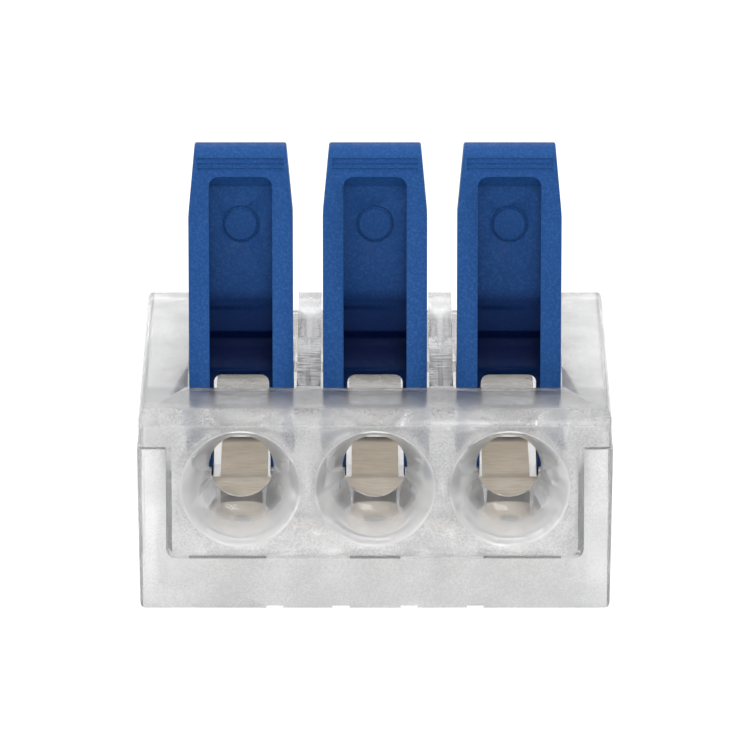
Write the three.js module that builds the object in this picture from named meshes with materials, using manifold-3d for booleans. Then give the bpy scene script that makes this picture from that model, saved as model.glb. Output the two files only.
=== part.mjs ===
// Compact three-pole lever splice connector for electrical wires, millimetres, +Z up.
// The wire entries face -Y, the levers stand open and fold back towards +Y to close.
// The origin is the middle of the underside.

import * as THREE from 'three';
import { mergeVertices } from 'three/addons/utils/BufferGeometryUtils.js';
import Module from 'manifold-3d';

const wasm = await Module();
wasm.setup();

// ---- driving dimensions -------------------------------------------------------------------

const POLES = 3;
const PITCH = 5.6;

const LENGTH = 18.4;
const HEIGHT = 8.5;
const TRAY_WIDTH = 19.8;
const TRAY_BASE_WIDTH = 19.56;
const HOOD_WIDTH = 19.66;
const WALL = 0.9;
const FLOOR = 0.9;
const SEAM_Z = 6.9;
const SEAM_GAP = 0.1;
const CORNER_R = 0.35;
const HOOD_EDGE_R = 0.45;

const FACE_WIDTH = 16.9;
const FACE_BOTTOM_Z = 2.28;
const FACE_TOP_Z = 7.92;
const SHOULDER_RUN = 0.65;
const TRAY_LIP_Z = 2.15;
const EAR_INNER_X = 8.7;
const SKIRT_HALF_WIDTH = 8.8;
const TRAY_INNER_X = 8.95;

const FUNNEL_Z = 5.18;
const MOUTH_R = 2.4;
const BORE_R = 1.35;
const FUNNEL_DEPTH = 3.4;
const FUNNEL_END_WALL = 0.16;
const SILL_HALF = 1.05;
const SILL_OUTER = 2.18;
const SILL_TOP_Z = 1.95;
const SILL_END = 2.2;

const LATCH_HALF_LENGTH = 2;
const LATCH_REACH = 0.35;
const LATCH_BOTTOM_Z = 3.2;
const LATCH_PEAK_Z = 4.1;
const LATCH_SHELF_Z = 4.3;
const LATCH_TOP_Z = 4.4;
const LATCH_POCKET_HALF_LENGTH = 2.2;
const LATCH_POCKET_BOTTOM_Z = 3.0;
const LATCH_POCKET_TOP_Z = 4.6;

const SADDLE_END = 11.0;
const SADDLE_TOP_Z = 4.9;
const REST_START = 13.5;
const REST_END = 15.5;
const GATE_NOTCH_OFFSET = 1.38;
const GATE_NOTCH_HALF_WIDTH = 0.35;
const GATE_NOTCH_DEPTH = 0.3;
const GATE_NOTCH_HEIGHT = 0.12;

const CHAMBER_WIDTH = 4.6;
const SLOT_START = 3.6;
const DECK_START = 10.6;
const DECK_BOTTOM_Z = 7.12;
const DECK_TOP_Z = 7.6;
const CHANNEL_END = 14.1;
const CHANNEL_Z = 7.7;

const PIVOT_DEPTH = 6.1;
const PIVOT_Z = 6.4;
const DISC_R = 2.4;
const LEVER_TOP_Z = 18.9;
const LEVER_WIDTH = 4.35;
const LEVER_TIP_WIDTH = 3.8;
const LEVER_THICKNESS = 1.15;
const POCKET_WIDTH = 2.64;
const CHEEK_GAP = 2.42;
const POCKET_TOP_Z = 17.62;
const POCKET_ROOF_DROP = 0.6;
const TAPER_START_Z = 15.9;
const POCKET_DEPTH = 0.72;
const WEB_END_Z = 7.9;
const LEDGE_Z = 10.7;
const WEB_BACK = 1.66;
const CUTOUT_WIDTH = 2.32;
const CUTOUT_TOP_Z = 8.76;
const GRIP_GROOVES = 3;
const GRIP_FIRST_DROP = 0.55;
const GRIP_SPACING = 0.21;
const GRIP_GROOVE_R = 0.08;
const MARK_Z = 15.39;
const MARK_R = 0.76;
const MARK_GROOVE_HALF = 0.07;
const CAM_NOSE_R = 0.35;
const CAM_NOSE_BEHIND = 1.75;
const CAM_NOSE_BELOW = 0.3;
const CAM_NOSE_INNER = 1.02;

const SPRING_WIDTH = 2.2;
const SPRING_THICKNESS = 0.22;
const BOW_DEPTH = 5.0;
const BOW_Z = 7.3;
const BOW_R = 0.75;
const BOW_FROM_DEGREES = 238;
const BOW_TO_DEGREES = 82;
const FIXED_LEG_BEND = 7.9;
const FIXED_LEG_FLAT = 8.4;
const FIXED_LEG_END = 13.4;
const LEG_LENGTH = 8.4;
const LEG_TIP_WIDTH = 2.0;
const LEG_TIP_RUN = 0.5;
const LEG_TIP_DROP = 0.14;
const LEG_NECK_START = 4.2;
const LEG_NECK_END = 4.6;

const BUSBAR_TOP_Z = 2.6;
const BUSBAR_THICKNESS = 0.5;
const TONGUE_WIDTH = 2.0;
const TONGUE_END = 16.05;
const CROSSBAR_START = 4.4;
const CROSSBAR_END = 10.2;
const CROSSBAR_OVERHANG = 3.6;
const BUSBAR_BED_GAP = 0.05;
const CROSSBAR_LENGTH = PITCH * (POLES - 1) + CROSSBAR_OVERHANG;

const CLEARANCE = 0.12;
const ARC_STEPS = 10;
const ROUND_STEPS = 48;

const FRONT_Y = -LENGTH / 2;
const REAR_Y = LENGTH / 2;
const PIVOT_Y = FRONT_Y + PIVOT_DEPTH;
const DISC_FRONT_Y = PIVOT_Y - DISC_R;

const COLOURS = {
  clear: 0xdfe3e6,
  blue: 0x1d4486,
  tinned: 0xa79c8c,
  steel: 0xafaca7,
};

// ---- solids -------------------------------------------------------------------------------

// A closed three.js geometry as a solid that can be cut and joined.
function solid(geometry) {
  const bare = geometry.index ? geometry.toNonIndexed() : geometry;
  bare.deleteAttribute('normal');
  bare.deleteAttribute('uv');
  const merged = mergeVertices(bare, 1e-5);
  return new wasm.Manifold(new wasm.Mesh({
    numProp: 3,
    vertProperties: new Float32Array(merged.attributes.position.array),
    triVerts: new Uint32Array(merged.index.array),
  }));
}

// The solid as a three.js geometry again.
function geometryOf(body) {
  const mesh = body.getMesh();
  const geometry = new THREE.BufferGeometry();
  geometry.setAttribute('position', new THREE.BufferAttribute(mesh.vertProperties, 3));
  geometry.setIndex(new THREE.BufferAttribute(mesh.triVerts, 1));
  geometry.computeVertexNormals();
  return geometry;
}

function union(bodies) {
  return bodies.reduce((whole, body) => whole.add(body));
}

function box(x0, x1, y0, y1, z0, z1) {
  const geometry = new THREE.BoxGeometry(x1 - x0, y1 - y0, z1 - z0);
  geometry.translate((x0 + x1) / 2, (y0 + y1) / 2, (z0 + z1) / 2);
  return solid(geometry);
}

function extrude(shape, depth, xAxis, yAxis, zAxis, origin) {
  const geometry = new THREE.ExtrudeGeometry(shape, {
    depth,
    bevelEnabled: false,
    curveSegments: ARC_STEPS,
  });
  const frame = new THREE.Matrix4().makeBasis(xAxis, yAxis, zAxis);
  geometry.applyMatrix4(frame.setPosition(origin));
  return solid(geometry);
}

const X = new THREE.Vector3(1, 0, 0);
const Y = new THREE.Vector3(0, 1, 0);
const Z = new THREE.Vector3(0, 0, 1);
const BACK_TO_FRONT = new THREE.Vector3(0, -1, 0);

// A side profile drawn in (y, z), extruded across from x0 to x1.
function acrossX(shape, x0, x1) {
  return extrude(shape, x1 - x0, Y, Z, X, new THREE.Vector3(x0, 0, 0));
}

// A front outline drawn in (x, z), extruded from y0 to y1.
function alongY(shape, y0, y1) {
  return extrude(shape, y1 - y0, X, Z, BACK_TO_FRONT, new THREE.Vector3(0, y1, 0));
}

// A plan outline drawn in (x, y), extruded from z0 to z1.
function upZ(shape, z0, z1) {
  return extrude(shape, z1 - z0, X, Y, Z, new THREE.Vector3(0, 0, z0));
}

// An outline through [x, y, radius] corners, each corner eased by a curve of about its own radius.
function roundedOutline(corners) {
  const points = corners.map(([x, y]) => new THREE.Vector2(x, y));
  const shape = new THREE.Shape();
  corners.forEach(([, , radius], i) => {
    const here = points[i];
    const before = points[(i + points.length - 1) % points.length];
    const after = points[(i + 1) % points.length];
    const toBefore = before.clone().sub(here).normalize();
    const toAfter = after.clone().sub(here).normalize();
    const halfAngle = Math.acos(toBefore.dot(toAfter)) / 2;
    const setback = radius / Math.tan(halfAngle);
    const start = here.clone().addScaledVector(toBefore, setback);
    const end = here.clone().addScaledVector(toAfter, setback);
    if (i === 0) shape.moveTo(start.x, start.y);
    else shape.lineTo(start.x, start.y);
    if (radius > 0) shape.quadraticCurveTo(here.x, here.y, end.x, end.y);
  });
  shape.closePath();
  return shape;
}

function rectangle(x0, x1, y0, y1, radius) {
  return roundedOutline([[x0, y0, radius], [x1, y0, radius], [x1, y1, radius], [x0, y1, radius]]);
}

// A turned solid about an axis along +Y through (x, z), from [radius, y] points front to back.
function turned(points, x, z) {
  const profile = points.map(([radius, y]) => new THREE.Vector2(radius, y));
  const geometry = new THREE.LatheGeometry(profile, ROUND_STEPS);
  geometry.translate(x, 0, z);
  return solid(geometry);
}

// A strip of constant thickness along a list of [y, z] points, as a side profile.
function stripOutline(line, thickness) {
  const points = line.map(([y, z]) => new THREE.Vector2(y, z));
  const offset = (i, side) => {
    const before = points[Math.max(i - 1, 0)];
    const after = points[Math.min(i + 1, points.length - 1)];
    const along = after.clone().sub(before).normalize();
    return points[i].clone().add(new THREE.Vector2(-along.y, along.x).multiplyScalar(side * thickness / 2));
  };
  const left = points.map((_, i) => offset(i, 1));
  const right = points.map((_, i) => offset(i, -1)).reverse();
  return new THREE.Shape([...right, ...left].reverse());
}

function arcPoints(y, z, radius, fromDegrees, toDegrees) {
  return Array.from({ length: ARC_STEPS + 1 }, (_, i) => {
    const degrees = fromDegrees + (toDegrees - fromDegrees) * i / ARC_STEPS;
    const angle = THREE.MathUtils.degToRad(degrees);
    return [y + radius * Math.cos(angle), z + radius * Math.sin(angle)];
  });
}

const poleCentres = Array.from({ length: POLES }, (_, i) => (i - (POLES - 1) / 2) * PITCH);
const wallCentres = poleCentres.slice(1).map((x) => x - PITCH / 2);

// ---- housing ------------------------------------------------------------------------------

// The clear hood: shoulder, top with three lever troughs, funnel face and inner walls.
function upperHousing() {
  const sideProfile = roundedOutline([
    [FRONT_Y, 0, 0],
    [REAR_Y, 0, 0],
    [REAR_Y, HEIGHT, 0.4],
    [FRONT_Y + SHOULDER_RUN, HEIGHT, 0.25],
    [FRONT_Y, FACE_TOP_Z, 0.08],
  ]);
  const plan = rectangle(-HOOD_WIDTH / 2, HOOD_WIDTH / 2, FRONT_Y, REAR_Y, CORNER_R);
  const endProfile = roundedOutline([
    [-HOOD_WIDTH / 2, 0, 0],
    [HOOD_WIDTH / 2, 0, 0],
    [HOOD_WIDTH / 2, HEIGHT, HOOD_EDGE_R],
    [-HOOD_WIDTH / 2, HEIGHT, HOOD_EDGE_R],
  ]);
  const cap = acrossX(sideProfile, -HOOD_WIDTH / 2, HOOD_WIDTH / 2)
    .intersect(upZ(plan, SEAM_Z + SEAM_GAP, HEIGHT + 1))
    .intersect(alongY(endProfile, FRONT_Y, REAR_Y));
  const faceOutline = rectangle(-FACE_WIDTH / 2, FACE_WIDTH / 2, FACE_BOTTOM_Z, FACE_TOP_Z, 0.35);
  const face = alongY(faceOutline, FRONT_Y, FRONT_Y + WALL + SEAM_GAP);
  const skirt = box(-SKIRT_HALF_WIDTH, SKIRT_HALF_WIDTH, FRONT_Y + WALL + SEAM_GAP,
    REAR_Y - WALL - CLEARANCE, FLOOR + SEAM_GAP, SEAM_Z + WALL);
  const frontRelief = box(-TRAY_WIDTH, TRAY_WIDTH, FRONT_Y - 1,
    FRONT_Y + WALL + CLEARANCE, -1, FACE_BOTTOM_Z);
  let hood = union([cap, face, skirt]).subtract(frontRelief);
  for (const x of poleCentres) hood = hood.subtract(chamber(x));
  for (const x of poleCentres) hood = hood.add(funnelWall(x)).subtract(funnelBore(x));
  for (const x of wallCentres) hood = hood.subtract(wallChannel(x));
  const half = CROSSBAR_LENGTH / 2 + CLEARANCE;
  const crossbarNotch = box(-half, half, FRONT_Y + CROSSBAR_START - CLEARANCE,
    FRONT_Y + CROSSBAR_END + CLEARANCE, 0, BUSBAR_TOP_Z + CLEARANCE);
  hood = hood.subtract(crossbarNotch);
  return hood.add(latchNose(1)).add(latchNose(-1));
}

// One pole's hollow: the room behind the face, the lever slot and the trough over the deck.
function chamber(x) {
  const x0 = x - CHAMBER_WIDTH / 2;
  const x1 = x + CHAMBER_WIDTH / 2;
  const shoulderRoom = box(x0, x1, FRONT_Y + WALL, FRONT_Y + SLOT_START + 0.1, 0, HEIGHT - WALL);
  const room = box(x0, x1, FRONT_Y + SLOT_START, REAR_Y + 1, 0, DECK_BOTTOM_Z)
    .intersect(box(x0, x1, FRONT_Y, REAR_Y - WALL - CLEARANCE / 2, 0, HEIGHT));
  const slot = upZ(rectangle(x0, x1, FRONT_Y + SLOT_START, FRONT_Y + DECK_START, 0.15), 0, HEIGHT + 1);
  const trough = box(x0, x1, FRONT_Y + DECK_START - 0.3, REAR_Y + 1, DECK_TOP_Z, HEIGHT + 1);
  return union([shoulderRoom, room, slot, trough]);
}

function funnelWall(x) {
  const back = FRONT_Y + FUNNEL_DEPTH;
  return turned([
    [0, FRONT_Y + WALL / 2],
    [MOUTH_R + 0.2, FRONT_Y + WALL / 2],
    [MOUTH_R + 0.2, FRONT_Y + WALL + 0.05],
    [BORE_R + FUNNEL_END_WALL, back],
    [0, back],
  ], x, FUNNEL_Z);
}

function funnelBore(x) {
  const back = FRONT_Y + FUNNEL_DEPTH;
  return turned([
    [0, FRONT_Y - 1],
    [MOUTH_R + 0.12, FRONT_Y - 1],
    [MOUTH_R + 0.12, FRONT_Y],
    [MOUTH_R, FRONT_Y + 0.14],
    [BORE_R, back - 0.12],
    [BORE_R, back + 0.5],
    [0, back + 0.5],
  ], x, FUNNEL_Z);
}

// The wall between two troughs is lower beside the levers, with a round rear end.
function wallChannel(x) {
  const halfWidth = (PITCH - CHAMBER_WIDTH) / 2 + 0.05;
  const start = FRONT_Y + SLOT_START + 0.25;
  const end = FRONT_Y + CHANNEL_END;
  const outline = roundedOutline([
    [x - halfWidth, start, 0],
    [x + halfWidth, start, 0],
    [x + halfWidth, end, halfWidth],
    [x - halfWidth, end, halfWidth],
  ]);
  return upZ(outline, CHANNEL_Z, HEIGHT + 1);
}

// A nose on the skirt that snaps into a pocket of the tray's side wall.
function latchNose(side) {
  const outline = roundedOutline([
    [side * (SKIRT_HALF_WIDTH - 0.2), LATCH_BOTTOM_Z, 0],
    [side * (SKIRT_HALF_WIDTH + LATCH_REACH), LATCH_PEAK_Z, 0],
    [side * (SKIRT_HALF_WIDTH + LATCH_REACH), LATCH_SHELF_Z, 0],
    [side * (SKIRT_HALF_WIDTH - 0.2), LATCH_TOP_Z, 0],
  ]);
  return alongY(outline, -LATCH_HALF_LENGTH, LATCH_HALF_LENGTH);
}

// The clear tray: floor, side and rear walls, front lip with ears, ribs and saddles.
function lowerHousing() {
  const half = TRAY_WIDTH / 2;
  const baseHalf = TRAY_BASE_WIDTH / 2;
  const frontOutline = roundedOutline([
    [-baseHalf, 0, 0.25],
    [baseHalf, 0, 0.25],
    [half, SEAM_Z, 0.12],
    [-half, SEAM_Z, 0.12],
  ]);
  const plan = rectangle(-half, half, FRONT_Y, REAR_Y, CORNER_R);
  const outside = alongY(frontOutline, FRONT_Y, REAR_Y).intersect(upZ(plan, -1, HEIGHT));
  const inside = box(-TRAY_INNER_X, TRAY_INNER_X, FRONT_Y + WALL, REAR_Y - WALL, FLOOR, HEIGHT);
  const faceGap = alongY(rectangle(-EAR_INNER_X, EAR_INNER_X, TRAY_LIP_Z, HEIGHT + 2, 0.5),
    FRONT_Y - 1, FRONT_Y + WALL + 0.1);
  let tray = outside.subtract(inside).subtract(faceGap);
  tray = tray.subtract(latchPocket(1)).subtract(latchPocket(-1));
  for (const x of poleCentres) {
    tray = union([tray, saddle(x, 1), saddle(x, -1), busbarRest(x), sill(x)]);
  }
  for (const x of gateNotchCentres) {
    tray = tray.subtract(box(x - GATE_NOTCH_HALF_WIDTH, x + GATE_NOTCH_HALF_WIDTH,
      FRONT_Y - 1, FRONT_Y + GATE_NOTCH_DEPTH, -1, GATE_NOTCH_HEIGHT));
  }
  return tray;
}

const gateNotchCentres = wallCentres.flatMap((x) => [x - GATE_NOTCH_OFFSET, x + GATE_NOTCH_OFFSET]);

function latchPocket(side) {
  const inner = side * (TRAY_INNER_X - 0.2);
  const outer = side * (TRAY_INNER_X + 0.4);
  return box(Math.min(inner, outer), Math.max(inner, outer), -LATCH_POCKET_HALF_LENGTH,
    LATCH_POCKET_HALF_LENGTH, LATCH_POCKET_BOTTOM_Z, LATCH_POCKET_TOP_Z);
}

// A low block behind the front wall, under each wire entry. The end ones reach out to the side walls.
function sill(x) {
  const left = x < -PITCH / 2 ? SILL_OUTER : SILL_HALF;
  const right = x > PITCH / 2 ? SILL_OUTER : SILL_HALF;
  return box(x - left, x + right, FRONT_Y + WALL - 0.1, FRONT_Y + SILL_END, FLOOR - 0.1, SILL_TOP_Z);
}

// A rib under each lever cheek: it carries the busbar in a notch and the disc on its ends.
function saddle(x, side) {
  const inner = x + side * (CHEEK_GAP / 2 + 0.05);
  const outer = x + side * (CHAMBER_WIDTH / 2 - CLEARANCE);
  const profile = new THREE.Shape();
  profile.moveTo(FRONT_Y + FUNNEL_DEPTH + CLEARANCE, FLOOR - 0.1);
  profile.lineTo(FRONT_Y + SADDLE_END, FLOOR - 0.1);
  profile.lineTo(FRONT_Y + SADDLE_END, SADDLE_TOP_Z);
  profile.lineTo(FRONT_Y + CROSSBAR_END + CLEARANCE, SADDLE_TOP_Z);
  profile.lineTo(FRONT_Y + CROSSBAR_END + CLEARANCE, BUSBAR_TOP_Z - BUSBAR_THICKNESS - BUSBAR_BED_GAP);
  profile.lineTo(FRONT_Y + CROSSBAR_START - CLEARANCE, BUSBAR_TOP_Z - BUSBAR_THICKNESS - BUSBAR_BED_GAP);
  profile.lineTo(FRONT_Y + CROSSBAR_START - CLEARANCE, SADDLE_TOP_Z);
  profile.lineTo(FRONT_Y + FUNNEL_DEPTH + CLEARANCE, SADDLE_TOP_Z);
  profile.closePath();
  const rib = acrossX(profile, Math.min(inner, outer), Math.max(inner, outer));
  return rib.subtract(disc(DISC_R + CLEARANCE, x - PITCH / 2, x + PITCH / 2));
}

function disc(radius, x0, x1) {
  const shape = new THREE.Shape();
  shape.absarc(PIVOT_Y, PIVOT_Z, radius, 0, Math.PI * 2);
  return acrossX(shape, x0, x1);
}

function busbarRest(x) {
  const half = TONGUE_WIDTH / 2 - 0.2;
  return box(x - half, x + half, FRONT_Y + REST_START, FRONT_Y + REST_END, FLOOR - 0.1,
    BUSBAR_TOP_Z - BUSBAR_THICKNESS - BUSBAR_BED_GAP);
}

// ---- metal --------------------------------------------------------------------------------

// One comb of tinned copper: a crossbar with a contact tongue for every pole.
function busbar() {
  const half = CROSSBAR_LENGTH / 2;
  const outline = new THREE.Shape();
  outline.moveTo(-half, FRONT_Y + CROSSBAR_START);
  outline.lineTo(half, FRONT_Y + CROSSBAR_START);
  outline.lineTo(half, FRONT_Y + CROSSBAR_END);
  for (const x of [...poleCentres].reverse()) {
    outline.lineTo(x + TONGUE_WIDTH / 2, FRONT_Y + CROSSBAR_END);
    outline.lineTo(x + TONGUE_WIDTH / 2, FRONT_Y + TONGUE_END);
    outline.lineTo(x - TONGUE_WIDTH / 2, FRONT_Y + TONGUE_END);
    outline.lineTo(x - TONGUE_WIDTH / 2, FRONT_Y + CROSSBAR_END);
  }
  outline.lineTo(-half, FRONT_Y + CROSSBAR_END);
  outline.closePath();
  return upZ(outline, BUSBAR_TOP_Z - BUSBAR_THICKNESS, BUSBAR_TOP_Z);
}

// The fixed half of a clamp spring: the bow behind the funnel and the leg under the deck.
function clampSpring(x) {
  const middle = BOW_R - SPRING_THICKNESS / 2;
  const legZ = DECK_BOTTOM_Z - 0.04 - SPRING_THICKNESS / 2;
  const bowY = FRONT_Y + BOW_DEPTH;
  const bow = arcPoints(bowY, BOW_Z, middle, BOW_FROM_DEGREES, BOW_TO_DEGREES);
  const line = [
    ...bow,
    [FRONT_Y + FIXED_LEG_BEND, legZ + 0.05],
    [FRONT_Y + FIXED_LEG_FLAT, legZ],
    [FRONT_Y + FIXED_LEG_END, legZ],
  ];
  return acrossX(stripOutline(line, SPRING_THICKNESS), x - SPRING_WIDTH / 2, x + SPRING_WIDTH / 2);
}

// The moving half: the clamping leg, held up level while the lever stands open.
function clampLeg(x) {
  const middle = BOW_R - SPRING_THICKNESS / 2;
  const bowY = FRONT_Y + BOW_DEPTH;
  const z = BOW_Z - middle;
  const line = [
    [bowY + 0.02, z],
    [bowY + LEG_LENGTH - LEG_TIP_RUN, z],
    [bowY + LEG_LENGTH, z - LEG_TIP_DROP],
  ];
  const strip = acrossX(stripOutline(line, SPRING_THICKNESS), x - SPRING_WIDTH / 2, x + SPRING_WIDTH / 2);
  const halfTip = LEG_TIP_WIDTH / 2;
  const halfRoot = SPRING_WIDTH / 2;
  const plan = roundedOutline([
    [x - halfRoot, bowY - 0.2, 0],
    [x + halfRoot, bowY - 0.2, 0],
    [x + halfRoot, bowY + LEG_NECK_START, 0],
    [x + halfTip, bowY + LEG_NECK_END, 0],
    [x + halfTip, bowY + LEG_LENGTH + 0.3, 0],
    [x - halfTip, bowY + LEG_LENGTH + 0.3, 0],
    [x - halfTip, bowY + LEG_NECK_END, 0],
    [x - halfRoot, bowY + LEG_NECK_START, 0],
  ]);
  return strip.intersect(upZ(plan, 0, HEIGHT));
}

// ---- levers -------------------------------------------------------------------------------

// A channel-shaped handle with two round cheeks that straddle the spring.
function lever(x) {
  const half = LEVER_WIDTH / 2;
  const pocketHalf = POCKET_WIDTH / 2;
  const gapHalf = CHEEK_GAP / 2;
  const blank = acrossX(leverSide(), x - half, x + half).intersect(alongY(leverFront(x), FRONT_Y, REAR_Y));
  const pocket = acrossX(pocketSide(), x - pocketHalf, x + pocketHalf)
    .intersect(alongY(pocketFront(x), FRONT_Y - 1, REAR_Y));
  const betweenCheeks = acrossX(cheekGapSide(), x - gapHalf, x + gapHalf);
  let body = blank
    .subtract(pocket)
    .subtract(betweenCheeks)
    .subtract(bowCutout(x))
    .subtract(ejectorGroove(x));
  for (let i = 0; i < GRIP_GROOVES; i += 1) {
    body = body.subtract(gripGroove(x, LEVER_TOP_Z - GRIP_FIRST_DROP - GRIP_SPACING * i));
  }
  return union([body, ejectorPad(x), camNose(x, 1), camNose(x, -1)]);
}

function leverSide() {
  const back = DISC_FRONT_Y + LEVER_THICKNESS;
  const webBack = DISC_FRONT_Y + WEB_BACK;
  const shape = new THREE.Shape();
  shape.moveTo(DISC_FRONT_Y, PIVOT_Z);
  shape.absarc(PIVOT_Y, PIVOT_Z, DISC_R, Math.PI, Math.PI * 2 + Math.PI / 3, false);
  shape.quadraticCurveTo(webBack + 0.1, 8.9, webBack, 9.7);
  shape.lineTo(webBack, LEDGE_Z - 0.3);
  shape.lineTo(back, LEDGE_Z + 0.05);
  shape.lineTo(back, LEVER_TOP_Z - 0.5);
  shape.quadraticCurveTo(back, LEVER_TOP_Z, back - 0.45, LEVER_TOP_Z);
  shape.quadraticCurveTo(DISC_FRONT_Y + 0.1, LEVER_TOP_Z, DISC_FRONT_Y, LEVER_TOP_Z - 0.45);
  shape.closePath();
  return shape;
}

function leverFront(x) {
  const half = LEVER_WIDTH / 2;
  const tipHalf = LEVER_TIP_WIDTH / 2;
  return roundedOutline([
    [x - half, 0, 0],
    [x + half, 0, 0],
    [x + half, TAPER_START_Z, 1.2],
    [x + tipHalf, LEVER_TOP_Z + 0.01, 0.22],
    [x - tipHalf, LEVER_TOP_Z + 0.01, 0.22],
    [x - half, TAPER_START_Z, 1.2],
  ]);
}

// The web's front surface: a sloping roof, a flat floor, a ledge, and a hollow above the cut-out.
function pocketSide() {
  const web = DISC_FRONT_Y + POCKET_DEPTH;
  const hollow = DISC_FRONT_Y + WEB_BACK - 0.3;
  const shape = new THREE.Shape();
  shape.moveTo(DISC_FRONT_Y - 1, 3);
  shape.lineTo(web + 0.26, 3);
  shape.lineTo(web + 0.26, 8.95);
  shape.quadraticCurveTo(hollow, 9.3, hollow, LEDGE_Z - 0.7);
  shape.lineTo(hollow, LEDGE_Z - 0.45);
  shape.lineTo(web + 0.18, LEDGE_Z);
  shape.quadraticCurveTo(web + 0.14, 11.7, web, 12.2);
  shape.lineTo(web, POCKET_TOP_Z - POCKET_ROOF_DROP);
  shape.lineTo(DISC_FRONT_Y, POCKET_TOP_Z);
  shape.lineTo(DISC_FRONT_Y - 1, POCKET_TOP_Z);
  shape.closePath();
  return shape;
}

function pocketFront(x) {
  const half = POCKET_WIDTH / 2;
  return roundedOutline([
    [x - half, WEB_END_Z, 0],
    [x + half, WEB_END_Z, 0],
    [x + half, POCKET_TOP_Z, 0.5],
    [x - half, POCKET_TOP_Z, 0.5],
  ]);
}

// Everything between the cheeks below and behind the web.
function cheekGapSide() {
  const webBack = DISC_FRONT_Y + WEB_BACK;
  const shape = new THREE.Shape();
  shape.moveTo(DISC_FRONT_Y - 1, 2);
  shape.lineTo(PIVOT_Y + 4, 2);
  shape.lineTo(PIVOT_Y + 4, LEDGE_Z);
  shape.lineTo(webBack, LEDGE_Z);
  shape.lineTo(webBack, WEB_END_Z);
  shape.lineTo(DISC_FRONT_Y - 1, WEB_END_Z);
  shape.closePath();
  return shape;
}

// The round-cornered cut-out at the web's foot that clears the bow.
function bowCutout(x) {
  const half = CUTOUT_WIDTH / 2;
  return alongY(rectangle(x - half, x + half, WEB_END_Z - 1, CUTOUT_TOP_Z, 0.4), FRONT_Y, REAR_Y);
}

// An ejector pin leaves a thin round groove in the web.
function ejectorGroove(x) {
  const webY = DISC_FRONT_Y + POCKET_DEPTH;
  return turned([
    [MARK_R - MARK_GROOVE_HALF, webY - 0.05],
    [MARK_R + MARK_GROOVE_HALF, webY - 0.05],
    [MARK_R + 0.02, webY + 0.06],
    [MARK_R - 0.02, webY + 0.06],
    [MARK_R - MARK_GROOVE_HALF, webY - 0.05],
  ], x, MARK_Z);
}

// Inside that groove the web stands a little proud.
function ejectorPad(x) {
  const webY = DISC_FRONT_Y + POCKET_DEPTH;
  return turned([
    [0, webY - 0.06],
    [MARK_R - 0.11, webY - 0.06],
    [MARK_R - 0.05, webY + 0.1],
    [0, webY + 0.1],
  ], x, MARK_Z);
}

// A fine groove across the front of the tip.
function gripGroove(x, z) {
  const shape = new THREE.Shape();
  shape.absarc(DISC_FRONT_Y - 0.02, z, GRIP_GROOVE_R, 0, Math.PI * 2);
  const half = LEVER_TIP_WIDTH / 2 - 0.12;
  return acrossX(shape, x - half, x + half);
}

// A small nose inside each cheek lifts the clamping leg while the lever is open.
function camNose(x, side) {
  const inner = x + side * CAM_NOSE_INNER;
  const outer = x + side * (CHEEK_GAP / 2 + 0.3);
  const shape = new THREE.Shape();
  shape.absarc(PIVOT_Y + CAM_NOSE_BEHIND, PIVOT_Z - CAM_NOSE_BELOW, CAM_NOSE_R, 0, Math.PI * 2);
  return acrossX(shape, Math.min(inner, outer), Math.max(inner, outer));
}

// ---- assembly -----------------------------------------------------------------------------

const connector = new THREE.Group();

function addPiece(name, body, material) {
  const piece = new THREE.Mesh(geometryOf(body), new THREE.MeshStandardMaterial(material));
  piece.name = name;
  connector.add(piece);
}

const clearPlastic = {
  color: COLOURS.clear,
  roughness: 0.2,
  metalness: 0,
  transparent: true,
  opacity: 0.4,
};

addPiece('upper_housing', upperHousing(), clearPlastic);
addPiece('lower_housing', lowerHousing(), clearPlastic);
addPiece('busbar', busbar(), { color: COLOURS.tinned, roughness: 0.35, metalness: 1 });
poleCentres.forEach((x, i) => {
  addPiece(`clamp_spring_${i + 1}`, clampSpring(x), { color: COLOURS.steel, roughness: 0.3, metalness: 1 });
  addPiece(`clamp_leg_${i + 1}`, clampLeg(x), { color: COLOURS.steel, roughness: 0.3, metalness: 1 });
  addPiece(`lever_${i + 1}`, lever(x), { color: COLOURS.blue, roughness: 0.45, metalness: 0 });
});

export default connector;
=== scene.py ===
"""Looks for a three-pole lever splice connector: clear housing, blue levers, tinned and steel contacts.

Everything is in metres, in the CAD's frame: +Z up, wire entries towards -Y, origin under the middle.
"""

import math

import bmesh
import bpy
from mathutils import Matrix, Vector


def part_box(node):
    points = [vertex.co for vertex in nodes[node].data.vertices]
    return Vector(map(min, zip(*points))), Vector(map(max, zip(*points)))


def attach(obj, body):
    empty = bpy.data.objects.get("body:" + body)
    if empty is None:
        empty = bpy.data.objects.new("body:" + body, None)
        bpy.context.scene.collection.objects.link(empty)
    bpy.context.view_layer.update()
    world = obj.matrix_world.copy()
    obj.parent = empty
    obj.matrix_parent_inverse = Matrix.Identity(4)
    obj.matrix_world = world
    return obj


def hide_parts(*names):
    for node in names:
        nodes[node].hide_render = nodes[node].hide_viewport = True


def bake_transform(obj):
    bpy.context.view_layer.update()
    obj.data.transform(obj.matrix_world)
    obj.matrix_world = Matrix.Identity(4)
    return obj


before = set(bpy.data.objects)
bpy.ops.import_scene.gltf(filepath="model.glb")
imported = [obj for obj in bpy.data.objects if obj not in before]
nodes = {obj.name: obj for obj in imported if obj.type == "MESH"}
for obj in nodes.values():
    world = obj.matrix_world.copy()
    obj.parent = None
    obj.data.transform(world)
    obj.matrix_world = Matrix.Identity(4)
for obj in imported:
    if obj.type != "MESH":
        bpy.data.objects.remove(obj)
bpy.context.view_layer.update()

MM = 0.001

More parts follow.
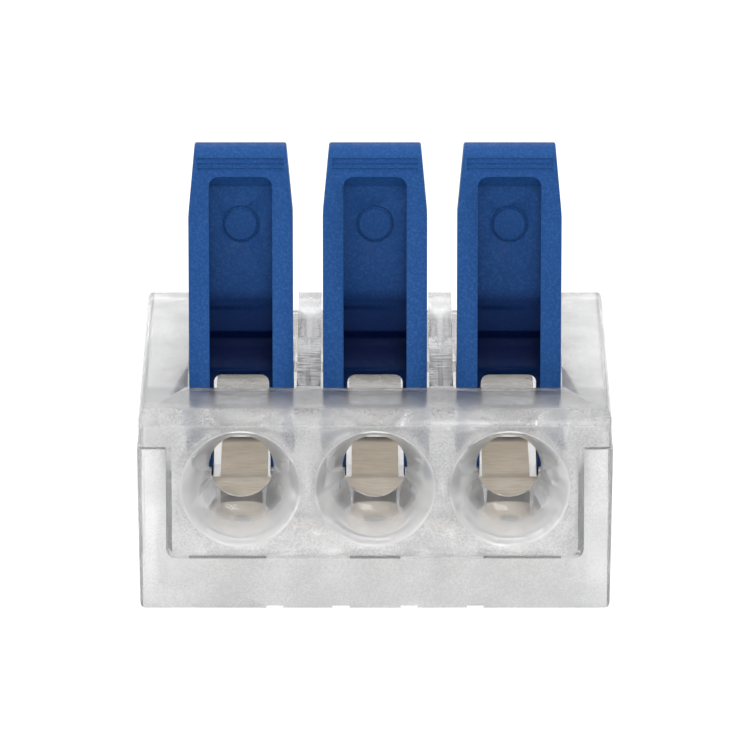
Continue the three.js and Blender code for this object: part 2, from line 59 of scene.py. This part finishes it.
# The camera, the floor and the light.
CAMERA_ELEVATION = 16.5
CAMERA_DISTANCE = 410 * MM
CAMERA_AIM_Z = 7.4 * MM
CAMERA_LENS = 464.0
SENSOR_WIDTH = 36.0
WORLD_FRONT = 1.05
WORLD_BACK = 1.0
WORLD_FADE = (-1.0, 0.3)
FLOOR_HALF = 0.6
FLOOR_DROP = 0.02 * MM
FLOOR_GLOW = 0.92
FLOOR_GREY = 0.16

# Rounding and cleaning of the meshes.
FACE_BEVEL = 0.09 * MM
LEVER_BEVEL = 0.07 * MM
METAL_BEVEL = 0.03 * MM
BEVEL_SEGMENTS = 2
SMOOTH_ANGLE = math.radians(32)
BEVEL_ANGLE = math.radians(34)
FLAT_ANGLE = math.radians(0.6)
WELD = 0.004 * MM
NARROW = 0.14 * MM
TINY = 0.0002 * MM

# The bent strips: a round bow, a fixed leg above and a clamping leg below.
BOW_R = 0.75 * MM
BOW_TOP_DEGREES = 104
FIXED_ARC_END = 82
MOVING_ARC_END = 270
SPRING_THICKNESS = 0.22 * MM
SPRING_HALF = 1.1 * MM
LEG_TIP_HALF = 1.0 * MM
LEG_NARROWS = 4.5 * MM
LEG_TIP_RUN = 0.5 * MM
LEG_TIP_DROP = 0.13 * MM
LEG_END_GAP = 0.03 * MM
FIXED_LEG_Z = 6.97 * MM
FIXED_BEND = 2.9 * MM
FIXED_BEND_RISE = 0.05 * MM
FIXED_FLAT = 3.4 * MM
FIXED_END_GAP = 0.02 * MM

# How faces of the housing are told apart.
SKIN_DEPTH = 0.12 * MM
SQUARE_ON = 0.95
FACES_UP = 0.3
SHOULDER_SIZE = 0.8 * MM
CHANNEL_FLOOR_Z = 7.6 * MM
CHANNEL_FLOOR_DEPTH = 0.3 * MM
CHANNEL_REACH = 0.62 * MM
FUNNEL_Z = 5.18 * MM
FUNNEL_START = 0.05 * MM
FUNNEL_DEPTH = 3.6 * MM
FUNNEL_REACH = 2.6 * MM
FUNNEL_FACING = 0.3
EDGE_WIDTH = 0.12 * MM
EDGE_LENGTH = 0.8 * MM
RIM_DEPTH = 0.07 * MM
RIM_LOW_Z = 2.2 * MM
RIM_HIGH_Z = 8.0 * MM
SKIN_SLOT, INNER_SLOT, GLOSS_SLOT, CHANNEL_SLOT, EDGE_SLOT, TOP_SLOT = range(6)

# Clear plastic.
PLASTIC_IOR = 1.5
CLEAR_LIGHT = (0.995, 0.995, 0.995)
BLUE_TINGE = 1.005
GRAIN_SCALE = 14500
GRAIN_BAND = (0.40, 0.58)
GRAIN_BUMP = 0.6
CLOUD_SCALE = 480
CLOUD_DEPTH = 0.42
PATCH_SCALE = 5000
SATIN_ROUGH = (0.16, 0.26)
SATIN_GRAIN = 0.012 * MM
WINDOW_Y = -7.7 * MM
WINDOW_Z = 4.15 * MM
WINDOW_FADE_Y = 0.5 * MM
WINDOW_FADE_Z = 0.6 * MM
WINDOW_CLEAR = 0.90
# Painted refraction streaks across the foot of the channels.
STREAK_SCALE = 6500
STREAK_STRETCH = (0.16, 1, 1)
STREAK_BAND = (0.40, 0.56)
STREAK_LEAST = 0.30
STREAK_COLOUR = (0.05, 0.05, 0.06)
STREAK_NEAR = (-2.9 * MM, -1.7 * MM)
STREAK_FAR = (1.5 * MM, 5.5 * MM)

# Blue plastic, and how far painted shade darkens it at each height of the web, in mm.
BLUE_DEEP = (0.009, 0.048, 0.166)
BLUE_FRESH = (0.012, 0.058, 0.196)
BLUE_SAND = (0.014, 0.030, 0.056)
BLUE_PAINTED_SHADE = (0.0, 0.0045, 0.036)
BLUE_GRAIN_SCALE = 9500
BLUE_CLOUD_SCALE = 350
BLUE_PATCH_SCALE = 4000
BLUE_GRAIN_BAND = (0.45, 0.75)
BLUE_ROUGH = (0.42, 0.58)
BLUE_GRAIN = 0.014 * MM
BLUE_GLINT = 0.07
BLUE_BUMP = 0.8
WEB_FADE = (-5.0 * MM, -4.85 * MM)
WEB_LOW_Z = 8.4 * MM
WEB_HIGH_Z = 17.4 * MM
WEB_PAINTED_SHADES = (
    (8.5, 0.80),
    (9.4, 0.97),
    (10.6, 1.0),
    (10.75, 0.90),
    (12.0, 0.78),
    (12.6, 0.42),
    (15.0, 0.30),
    (17.2, 0.08),
)

# Brushed metal.
BRUSH_SCALE = 2600
BRUSH_BAND = (0.3, 0.7)
BRUSH_DEPTH = 0.005 * MM
BLOTCH_SCALE = 700

POLES = sorted(name[-1] for name in nodes if name.startswith("lever_"))
POLE_X = [sum(corner[0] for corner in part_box(f"lever_{pole}")) / 2 for pole in POLES]
WALL_X = [(left + right) / 2 for left, right in zip(POLE_X, POLE_X[1:])]

# A colour Mix node keeps its colour sockets at these places.
MIX_A, MIX_B, MIX_RESULT = 6, 7, 2


# ---- materials --------------------------------------------------------------------------------


class Nodes:
    """A small helper that builds one material's node tree."""

    def __init__(self, name):
        self.material = bpy.data.materials.new(name)
        self.material.use_nodes = True
        self.tree = self.material.node_tree
        self.shader = self.tree.nodes["Principled BSDF"]
        self.coords = self.tree.nodes.new("ShaderNodeTexCoord")

    @classmethod
    def around(cls, material):
        """The same helper for a material that is already made."""
        made = cls.__new__(cls)
        made.material = material
        made.tree = material.node_tree
        made.shader = made.tree.nodes["Principled BSDF"]
        made.coords = made.tree.nodes["Texture Coordinate"]
        return made

    def add(self, kind, **values):
        node = self.tree.nodes.new(kind)
        for key, value in values.items():
            if key in node.inputs:
                node.inputs[key].default_value = value
            else:
                setattr(node, key, value)
        return node

    def link(self, source, target):
        self.tree.links.new(source, target)

    def feed(self, value, socket):
        """Joins a socket to another one's output, or sets it to a colour or a number."""
        if isinstance(value, bpy.types.NodeSocket):
            self.link(value, socket)
        else:
            socket.default_value = (*value, 1) if isinstance(value, tuple) else value

    def place(self):
        return self.coords.outputs["Object"]

    def along(self, axis):
        """The place along one axis of the part."""
        split = self.add("ShaderNodeSeparateXYZ")
        self.link(self.place(), split.inputs["Vector"])
        return split.outputs[axis]

    def scaled(self, scale):
        """Object coordinates stretched by a vector, so that a texture can be drawn out along one axis."""
        mapping = self.add("ShaderNodeMapping")
        mapping.inputs["Scale"].default_value = scale
        self.link(self.place(), mapping.inputs["Vector"])
        return mapping.outputs["Vector"]

    def noise(self, vector, scale, detail, roughness=0.5):
        node = self.add("ShaderNodeTexNoise", Scale=scale, Detail=detail, Roughness=roughness)
        self.link(vector, node.inputs["Vector"])
        return node.outputs["Fac"]

    def ramp(self, factor, low, high, at=(0.35, 0.65)):
        """Runs from low to high while the factor runs between the two values of at."""
        node = self.add("ShaderNodeMapRange")
        node.inputs["From Min"].default_value = at[0]
        node.inputs["From Max"].default_value = at[1]
        node.inputs["To Min"].default_value = low
        node.inputs["To Max"].default_value = high
        self.link(factor, node.inputs["Value"])
        return node.outputs["Result"]

    def combine(self, operation, a, b, clamp=False):
        node = self.add("ShaderNodeMath", operation=operation, use_clamp=clamp)
        self.link(a, node.inputs[0])
        self.link(b, node.inputs[1])
        return node.outputs["Value"]

    def mix(self, factor, a, b, blend="MIX"):
        node = self.add("ShaderNodeMix", data_type="RGBA", blend_type=blend)
        self.feed(a, node.inputs[MIX_A])
        self.feed(b, node.inputs[MIX_B])
        self.feed(factor, node.inputs["Factor"])
        return node.outputs[MIX_RESULT]

    def stops_along(self, axis, low, high, stops):
        """A colour for each place between low and high, from stops of a place in mm and a colour."""
        node = self.add("ShaderNodeValToRGB")
        self.link(self.ramp(self.along(axis), 0, 1, (low, high)), node.inputs["Fac"])
        elements = node.color_ramp.elements
        while len(elements) < len(stops):
            elements.new(0.5)
        for element, (stop, colour) in zip(elements, stops):
            element.position = (stop * MM - low) / (high - low)
            element.color = (*colour, 1)
        return node.outputs["Color"]

    def bump(self, height, distance, strength):
        node = self.add("ShaderNodeBump", Strength=strength, Distance=distance)
        self.link(height, node.inputs["Height"])
        return node.outputs["Normal"]

    def set(self, **values):
        for key, value in values.items():
            self.shader.inputs[key.replace("_", " ")].default_value = value

    def drive(self, key, source):
        self.link(source, self.shader.inputs[key])

    def colour(self):
        """What drives the shader's colour so far."""
        return self.shader.inputs["Base Color"].links[0].from_socket


def clear_plastic(name, rough, grain_height, haze, speckle):
    """Clear polycarbonate: rough is its range of roughness, haze the share of light that it scatters."""
    made = Nodes(name)
    made.set(Metallic=0.0, IOR=PLASTIC_IOR, Transmission_Weight=1.0 - haze)
    grain = made.noise(made.place(), GRAIN_SCALE, 3, 0.6)
    cloud = made.noise(made.place(), CLOUD_SCALE, 2)
    fine = made.ramp(grain, 0, 1, GRAIN_BAND)
    shift = made.ramp(cloud, -CLOUD_DEPTH, CLOUD_DEPTH)
    share = made.combine("ADD", fine, shift, clamp=True)
    dark = (speckle, speckle, speckle * BLUE_TINGE)
    made.drive("Base Color", made.mix(share, dark, CLEAR_LIGHT))
    made.drive("Roughness", made.ramp(made.noise(made.place(), PATCH_SCALE, 3), *rough))
    made.drive("Normal", made.bump(grain, grain_height, GRAIN_BUMP))
    return made.material


def satin(name, haze, speckle):
    return clear_plastic(name, SATIN_ROUGH, SATIN_GRAIN, haze, speckle)


def clear_window(material):
    """Makes the foot of each funnel's throat clearer, where the contact shows through its wall."""
    made = Nodes.around(material)
    depth = made.ramp(made.along("Y"), 0, 1, (WINDOW_Y, WINDOW_Y + WINDOW_FADE_Y))
    height = made.ramp(made.along("Z"), 1, 0, (WINDOW_Z, WINDOW_Z + WINDOW_FADE_Z))
    inside = made.combine("MULTIPLY", depth, height)
    around = made.shader.inputs["Transmission Weight"].default_value
    made.drive("Transmission Weight", made.ramp(inside, around, WINDOW_CLEAR, (0, 1)))


def channel_streaks(material):
    """Paints fine dark lines across the foot of the channels between the levers, painted refraction streaks.
    """
    made = Nodes.around(material)
    source = made.colour()
    lines = made.noise(made.scaled(STREAK_STRETCH), STREAK_SCALE, 2, 0.6)
    near = made.ramp(made.along("Y"), 0, 1, STREAK_NEAR)
    far = made.ramp(made.along("Y"), 1, 0, STREAK_FAR)
    place = made.combine("MULTIPLY", near, far)
    share = made.combine("MULTIPLY", made.ramp(lines, STREAK_LEAST, 1, STREAK_BAND), place)
    made.drive("Base Color", made.mix(share, source, STREAK_COLOUR))


def grey_stops(*stops):
    return tuple((place, (shade, shade, shade)) for place, shade in stops)


def shade_along(material, axis, stops):
    """Paints shade and light, and on the contact also a tarnish, into a material along an axis of the part:
    each stop is a place in mm and a colour that multiplies.
    """
    made = Nodes.around(material)
    source = made.colour()
    tint = made.stops_along(axis, stops[0][0] * MM, stops[-1][0] * MM, stops)
    made.drive("Base Color", made.mix(1.0, source, tint, "MULTIPLY"))


def web_painted_shade(made):
    """How much painted shade the web takes: from 0 on the rails to 1 in the hollow at the web's foot, by
    place on the lever.
    """
    depth = made.ramp(made.along("Y"), 0, 1, WEB_FADE)
    shade = made.stops_along("Z", WEB_LOW_Z, WEB_HIGH_Z, grey_stops(*WEB_PAINTED_SHADES))
    return made.combine("MULTIPLY", depth, shade)


def blue_plastic():
    """Blue moulding with a sandy grain, and painted shade that darkens it down in the web's hollow."""
    made = Nodes("blue_lever_plastic")
    made.set(Metallic=0.0, IOR=PLASTIC_IOR, Specular_IOR_Level=BLUE_GLINT)
    grain = made.noise(made.place(), BLUE_GRAIN_SCALE, 3, 0.65)
    cloud = made.noise(made.place(), BLUE_CLOUD_SCALE, 3)
    fresh = made.mix(cloud, BLUE_DEEP, BLUE_FRESH)
    sandy = made.mix(made.ramp(grain, 0, 1, BLUE_GRAIN_BAND), fresh, BLUE_SAND, "ADD")
    # Painted shade: a near-black blue mixed in by place, darkest in the web's hollow.
    made.drive("Base Color", made.mix(web_painted_shade(made), sandy, BLUE_PAINTED_SHADE))
    made.drive("Roughness", made.ramp(made.noise(made.place(), BLUE_PATCH_SCALE, 2), *BLUE_ROUGH))
    made.drive("Normal", made.bump(grain, BLUE_GRAIN, BLUE_BUMP))
    return made.material


def brushed_metal(name, dark, light, rough, scale):
    """Metal with fine lines, drawn out along the axis where scale is small."""
    made = Nodes(name)
    made.set(Metallic=1.0)
    streak = made.noise(made.scaled(scale), BRUSH_SCALE, 4, 0.65)
    blotch = made.noise(made.place(), BLOTCH_SCALE, 2)
    made.drive("Base Color", made.mix(made.ramp(streak, 0, 1, BRUSH_BAND), dark, light))
    made.drive("Roughness", made.ramp(blotch, *rough))
    made.drive("Normal", made.bump(streak, BRUSH_DEPTH, 0.5))
    return made.material


# The top satin is a darker copy of the hood's satin for the faces that look up, a painted shade.
SATIN = satin("clear_satin_hood", haze=0.32, speckle=0.77)
TRAY_SATIN = satin("clear_satin_tray", haze=0.32, speckle=0.84)
TOP = satin("clear_satin_top", haze=0.33, speckle=0.70)
# Painted shade by place: the hood grows darker towards its top, the tray above its foot, and the faces that
# look up at their front shoulder.
shade_along(SATIN, "Z", grey_stops((3.0, 0.98), (7.2, 0.76), (8.6, 0.80)))
shade_along(TRAY_SATIN, "Z", grey_stops((4.3, 1.0), (5.1, 0.88), (7.0, 0.86)))
shade_along(TOP, "Y", grey_stops((-9.2, 0.67), (-5.7, 0.62), (-5.3, 0.93), (0.0, 0.93), (9.2, 0.91)))
EDGE = clear_plastic("clear_edge", (0.14, 0.25), 0.006 * MM, haze=0.10, speckle=0.62)
CHANNEL = satin("clear_channel", haze=0.29, speckle=0.60)
# Painted refraction streaks across the channel floors.
channel_streaks(CHANNEL)
INNER = clear_plastic("clear_inner", (0.09, 0.17), 0.003 * MM, haze=0.10, speckle=0.975)
GLOSS = clear_plastic("clear_funnel", (0.03, 0.08), 0.0015 * MM, haze=0.30, speckle=0.99)
clear_window(GLOSS)
BLUE = blue_plastic()
TIN = brushed_metal(
    "tinned_copper",
    dark=(0.60, 0.535, 0.45),
    light=(0.78, 0.71, 0.61),
    rough=(0.32, 0.46),
    scale=(0.45, 2.1, 2.1),
)
STEEL = brushed_metal(
    "spring_steel",
    dark=(0.375, 0.358, 0.333),
    light=(0.525, 0.505, 0.480),
    rough=(0.21, 0.35),
    scale=(0.10, 1, 1),
)
# Along the contact, painted light brightens the near end, a painted shadow makes a dark band at 1 mm and
# darkens the far end, and the stretch between is darker and browner, partly tarnish and partly painted shade.
shade_along(TIN, "Y", (
    (-0.2, (1.02, 1.00, 0.97)),
    (0.6, (0.96, 0.94, 0.91)),
    (1.0, (0.66, 0.62, 0.56)),
    (1.6, (0.90, 0.86, 0.78)),
    (5.9, (0.94, 0.89, 0.80)),
    (6.25, (0.40, 0.35, 0.29)),
    (6.6, (0.04, 0.03, 0.03)),
))


# ---- meshes -----------------------------------------------------------------------------------


def add_object(name, data):
    made = bpy.data.objects.new(name, data)
    bpy.context.scene.collection.objects.link(made)
    return made


def aim(thing, direction):
    """Turns a camera or a lamp to look along a direction."""
    thing.rotation_mode = "QUATERNION"
    thing.rotation_quaternion = direction.to_track_quat("-Z", "Y")


def opened(mesh):
    work = bmesh.new()
    work.from_mesh(mesh)
    return work


def close(work, mesh):
    work.to_mesh(mesh)
    work.free()


def drop_flaps(work):
    """Removes faces that lie back to back on the same corners."""
    work.verts.index_update()
    groups = {}
    for face in work.faces:
        groups.setdefault(frozenset(corner.index for corner in face.verts), []).append(face)
    flaps = [face for group in groups.values() if len(group) > 1 for face in group]
    bmesh.ops.delete(work, geom=flaps, context="FACES")


def copy_of(node, name):
    """A fresh object with the CAD node's shape, its flat faces joined up again."""
    mesh = nodes[node].data.copy()
    mesh.materials.clear()
    piece = add_object(name, mesh)
    work = opened(mesh)
    bmesh.ops.remove_doubles(work, verts=work.verts, dist=WELD)
    drop_flaps(work)
    bmesh.ops.dissolve_limit(work, angle_limit=FLAT_ANGLE, verts=work.verts, edges=work.edges)
    close(work, mesh)
    return piece


def apply_modifiers(piece):
    graph = bpy.context.evaluated_depsgraph_get()
    done = bpy.data.meshes.new_from_object(piece.evaluated_get(graph), depsgraph=graph)
    piece.modifiers.clear()
    piece.data = done


def mark_bevels(mesh):
    """Weights the sharp edges between faces wide enough to be rounded, and leaves out fine grooves."""
    work = opened(mesh)
    weight = work.edges.layers.float.new("bevel_weight_edge")
    for edge in work.edges:
        if len(edge.link_faces) != 2 or edge.calc_face_angle(0) < BEVEL_ANGLE:
            continue
        length = edge.calc_length()
        narrowest = min(face.calc_area() for face in edge.link_faces) / length
        if length > NARROW and narrowest > NARROW:
            edge[weight] = 1.0
    close(work, mesh)


def soften(piece, width):
    """Rounds the sharp edges and shades the rest smooth."""
    mark_bevels(piece.data)
    bevel = piece.modifiers.new("bevel", "BEVEL")
    bevel.width = width
    bevel.segments = BEVEL_SEGMENTS
    bevel.limit_method = "WEIGHT"
    bevel.use_clamp_overlap = True
    apply_modifiers(piece)
    piece.data.shade_smooth()
    piece.data.set_sharp_from_angle(angle=SMOOTH_ANGLE)


def paint(piece, choose, *materials):
    for material in materials:
        piece.data.materials.append(material)
    for face in piece.data.polygons:
        face.material_index = choose(face)


def paint_all(piece, material):
    paint(piece, lambda face: 0, material)


def split_faces(piece):
    """Cuts many-sided faces into triangles, and drops the flat pairs that this leaves on straight edges."""
    work = opened(piece.data)
    bmesh.ops.triangulate(work, faces=[face for face in work.faces if len(face.verts) > 4])
    bmesh.ops.remove_doubles(work, verts=work.verts, dist=TINY)
    drop_flaps(work)
    close(work, piece.data)


def stand_for(piece, node, body):
    """Puts a finished piece in a CAD node's place. A piece with no body is left without a parent."""
    split_faces(piece)
    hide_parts(node)
    if body:
        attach(piece, body)


# ---- the camera, the floor and the light ------------------------------------------------------


def make_camera():
    data = bpy.data.cameras.new("camera")
    data.lens = CAMERA_LENS
    data.sensor_width = SENSOR_WIDTH
    data.clip_start = 10 * MM
    camera = add_object("camera", data)
    rise = math.radians(CAMERA_ELEVATION)
    back = Vector((0, -math.cos(rise), math.sin(rise)))
    camera.location = Vector((0, 0, CAMERA_AIM_Z)) + back * CAMERA_DISTANCE
    aim(camera, -back)
    bpy.context.scene.camera = camera


def make_floor():
    half = FLOOR_HALF
    corners = [(-half, -half, 0), (half, -half, 0), (half, half, 0), (-half, half, 0)]
    mesh = bpy.data.meshes.new("floor")
    mesh.from_pydata(corners, [], [(0, 1, 2, 3)])
    floor = add_object("floor", mesh)
    floor.location.z = -FLOOR_DROP
    made = Nodes("floor_paper")
    made.set(Roughness=0.9, Specular_IOR_Level=0.1, Emission_Strength=FLOOR_GLOW)
    made.set(Emission_Color=(1, 1, 1, 1), Base_Color=(FLOOR_GREY, FLOOR_GREY, FLOOR_GREY, 1))
    floor.data.materials.append(made.material)


def make_world():
    """White all round, and a little brighter on the side that the front faces look at."""
    world = bpy.data.worlds.new("studio")
    world.use_nodes = True
    tree = world.node_tree
    background = tree.nodes["Background"]
    background.inputs["Color"].default_value = (1, 1, 1, 1)
    coords = tree.nodes.new("ShaderNodeTexCoord")
    split = tree.nodes.new("ShaderNodeSeparateXYZ")
    fade = tree.nodes.new("ShaderNodeMapRange")
    fade.inputs["From Min"].default_value = WORLD_FADE[0]
    fade.inputs["From Max"].default_value = WORLD_FADE[1]
    fade.inputs["To Min"].default_value = WORLD_FRONT
    fade.inputs["To Max"].default_value = WORLD_BACK
    tree.links.new(coords.outputs["Generated"], split.inputs["Vector"])
    tree.links.new(split.outputs["Y"], fade.inputs["Value"])
    tree.links.new(fade.outputs["Result"], background.inputs["Strength"])
    bpy.context.scene.world = world


def area_light(name, place, aim_z, size, power):
    """A softbox that looks at a height on the object's middle line."""
    data = bpy.data.lights.new(name, "AREA")
    data.shape = "RECTANGLE"
    data.size, data.size_y = size
    data.energy = power
    light = add_object(name, data)
    light.location = place
    aim(light, Vector((0, 0, aim_z)) - Vector(place))


def make_light():
    area_light("top_softbox", (0.0, 0.04, 0.30), aim_z=5 * MM, size=(0.80, 0.80), power=1.3)
    area_light("front_softbox", (0.10, -0.32, 0.30), aim_z=6 * MM, size=(0.16, 0.16), power=0.55)
    area_light("side_softbox", (-0.30, -0.10, 0.12), aim_z=6 * MM, size=(0.18, 0.24), power=0.45)


def set_light_paths():
    """Clear plastic needs many bounces, or its inner reflections end in black."""
    bpy.context.scene.view_settings.view_transform = "Standard"
    paths = bpy.context.scene.cycles
    paths.max_bounces = 32
    paths.glossy_bounces = 24
    paths.transmission_bounces = 32
    paths.diffuse_bounces = 6


# ---- the housing ------------------------------------------------------------------------------


def distance_to(places, x):
    return min(abs(x - place) for place in places)


def is_outside(face, low, high):
    """True in the skin of the node's box, on the walls between levers, and on the shoulder at its front."""
    centre, normal = face.center, face.normal
    for axis in range(3):
        if normal[axis] < -SQUARE_ON and centre[axis] < low[axis] + SKIN_DEPTH:
            return True
        if normal[axis] > SQUARE_ON and centre[axis] > high[axis] - SKIN_DEPTH:
            return True
    if centre.z > CHANNEL_FLOOR_Z and distance_to(WALL_X, centre.x) < CHANNEL_REACH:
        return True
    in_shoulder = centre.y < low.y + SHOULDER_SIZE and centre.z > high.z - SHOULDER_SIZE
    return in_shoulder and normal.z > FACES_UP


def is_funnel(face, low):
    """True on either side of the wall round a wire entry."""
    centre, normal = face.center, face.normal
    if not low.y + FUNNEL_START < centre.y < low.y + FUNNEL_DEPTH:
        return False
    for x in POLE_X:
        away = Vector((centre.x - x, 0, centre.z - FUNNEL_Z))
        if away.length < FUNNEL_REACH and abs(away.dot(normal)) > FUNNEL_FACING * away.length:
            return True
    return False


def is_channel_floor(face):
    """True on the flat floor of a channel between two levers."""
    centre = face.center
    if face.normal.z < SQUARE_ON:
        return False
    if not CHANNEL_FLOOR_Z < centre.z < CHANNEL_FLOOR_Z + CHANNEL_FLOOR_DEPTH:
        return False
    return distance_to(WALL_X, centre.x) < CHANNEL_REACH


def is_edge(face, low):
    """True on the narrow faces that round the housing's straight edges and the wire entries' mouths."""
    if max(abs(part) for part in face.normal) > SQUARE_ON:
        return False
    centre = face.center
    near_mouth = centre.y < low.y + RIM_DEPTH and distance_to(POLE_X, centre.x) < FUNNEL_REACH
    if near_mouth and RIM_LOW_Z < centre.z < RIM_HIGH_Z:
        return True
    mesh = face.id_data
    corners = [mesh.vertices[i].co for i in face.vertices]
    longest = max((a - b).length for a, b in zip(corners, corners[1:] + corners[:1]))
    return longest > EDGE_LENGTH and face.area < EDGE_WIDTH * longest


def housing_chooser(node):
    """Satin on the outer faces, gloss in the wire funnels, and something between inside."""
    low, high = (Vector(corner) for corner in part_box(node))

    def choose(face):
        if is_channel_floor(face):
            return CHANNEL_SLOT
        if is_outside(face, low, high):
            # Outer faces that look up take the top satin, which is darkened with painted shade.
            return TOP_SLOT if face.normal.z > FACES_UP else SKIN_SLOT
        if is_edge(face, low):
            return EDGE_SLOT
        return GLOSS_SLOT if is_funnel(face, low) else INNER_SLOT

    return choose


def make_housing(node, name, skin):
    piece = copy_of(node, name)
    soften(piece, FACE_BEVEL)
    paint(piece, housing_chooser(node), skin, INNER, GLOSS, CHANNEL, EDGE, TOP)
    stand_for(piece, node, "root")


# ---- the levers and the contacts --------------------------------------------------------------


def make_busbar():
    piece = copy_of("busbar", "contact_comb")
    soften(piece, METAL_BEVEL)
    paint_all(piece, TIN)
    stand_for(piece, "busbar", "root")


def make_lever(pole):
    piece = copy_of(f"lever_{pole}", f"blue_lever_{pole}")
    soften(piece, LEVER_BEVEL)
    paint_all(piece, BLUE)
    stand_for(piece, f"lever_{pole}", f"lever_body_{pole}")


def strip(name, path, half_widths):
    """A flat strip that follows a path of (y, z) points, with its own half width at each."""
    work = bmesh.new()
    rings = []
    for i, (y, z) in enumerate(path):
        before, after = path[max(i - 1, 0)], path[min(i + 1, len(path) - 1)]
        along = Vector((0, after[0] - before[0], after[1] - before[1])).normalized()
        across = Vector((0, -along.z, along.y)) * SPRING_THICKNESS / 2
        middle = Vector((0, y, z))
        side = Vector((half_widths[i], 0, 0))
        corners = ((-side, -across), (side, -across), (side, across), (-side, across))
        rings.append([work.verts.new(middle + a + b) for a, b in corners])
    for near, far in zip(rings, rings[1:]):
        for i in range(4):
            j = (i + 1) % 4
            work.faces.new((near[i], near[j], far[j], far[i]))
    work.faces.new(rings[0][::-1])
    work.faces.new(rings[-1])
    bmesh.ops.recalc_face_normals(work, faces=work.faces)
    mesh = bpy.data.meshes.new(name)
    close(work, mesh)
    return add_object(name, mesh)


def arc(centre, radius, start, end, count):
    turn = [math.radians(start + (end - start) * i / (count - 1)) for i in range(count)]
    return [(centre[0] + radius * math.cos(a), centre[1] + radius * math.sin(a)) for a in turn]


def extend(path, end, count):
    """Adds evenly spaced points from a path's last point to a new end."""
    start = path[-1]
    for i in range(1, count + 1):
        share = i / count
        path.append(tuple(a + (b - a) * share for a, b in zip(start, end)))


def steel_strip(name, path, x, narrow_after=math.inf):
    """A steel strip on one pole, a little narrower past a place along Y."""
    half = [SPRING_HALF if y < narrow_after else LEG_TIP_HALF for y, _ in path]
    piece = strip(name, path, half)
    for vertex in piece.data.vertices:
        vertex.co.x += x
    soften(piece, METAL_BEVEL)
    paint_all(piece, STEEL)
    return piece


def make_spring(pole, x):
    """The fixed leg rides on the housing. The bow and clamping leg are one strip."""
    spring, leg = f"clamp_spring_{pole}", f"clamp_leg_{pole}"
    spring_low, spring_high = (Vector(corner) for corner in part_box(spring))
    leg_high = Vector(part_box(leg)[1])
    middle = BOW_R - SPRING_THICKNESS / 2
    centre = (spring_low.y + BOW_R, spring_high.z - BOW_R)
    leg_z = centre[1] - middle

    fixed = arc(centre, middle, BOW_TOP_DEGREES, FIXED_ARC_END, 5)
    extend(fixed, (centre[0] + FIXED_BEND, FIXED_LEG_Z + FIXED_BEND_RISE), 6)
    extend(fixed, (centre[0] + FIXED_FLAT, FIXED_LEG_Z), 2)
    extend(fixed, (spring_high.y - FIXED_END_GAP, FIXED_LEG_Z), 4)
    piece = steel_strip(f"steel_fixed_leg_{pole}", fixed, x)
    stand_for(piece, spring, "root")

    moving = arc(centre, middle, BOW_TOP_DEGREES, MOVING_ARC_END, 26)
    extend(moving, (leg_high.y - LEG_TIP_RUN, leg_z), 16)
    extend(moving, (leg_high.y - LEG_END_GAP, leg_z - LEG_TIP_DROP), 3)
    piece = steel_strip(f"steel_clamp_leg_{pole}", moving, x, centre[0] + LEG_NARROWS)
    stand_for(piece, leg, None)
    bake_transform(piece)


set_light_paths()
make_camera()
make_floor()
make_world()
make_light()
make_housing("upper_housing", "clear_hood", SATIN)
make_housing("lower_housing", "clear_tray", TRAY_SATIN)
make_busbar()
for pole, pole_x in zip(POLES, POLE_X):
    make_spring(pole, pole_x)
    make_lever(pole)
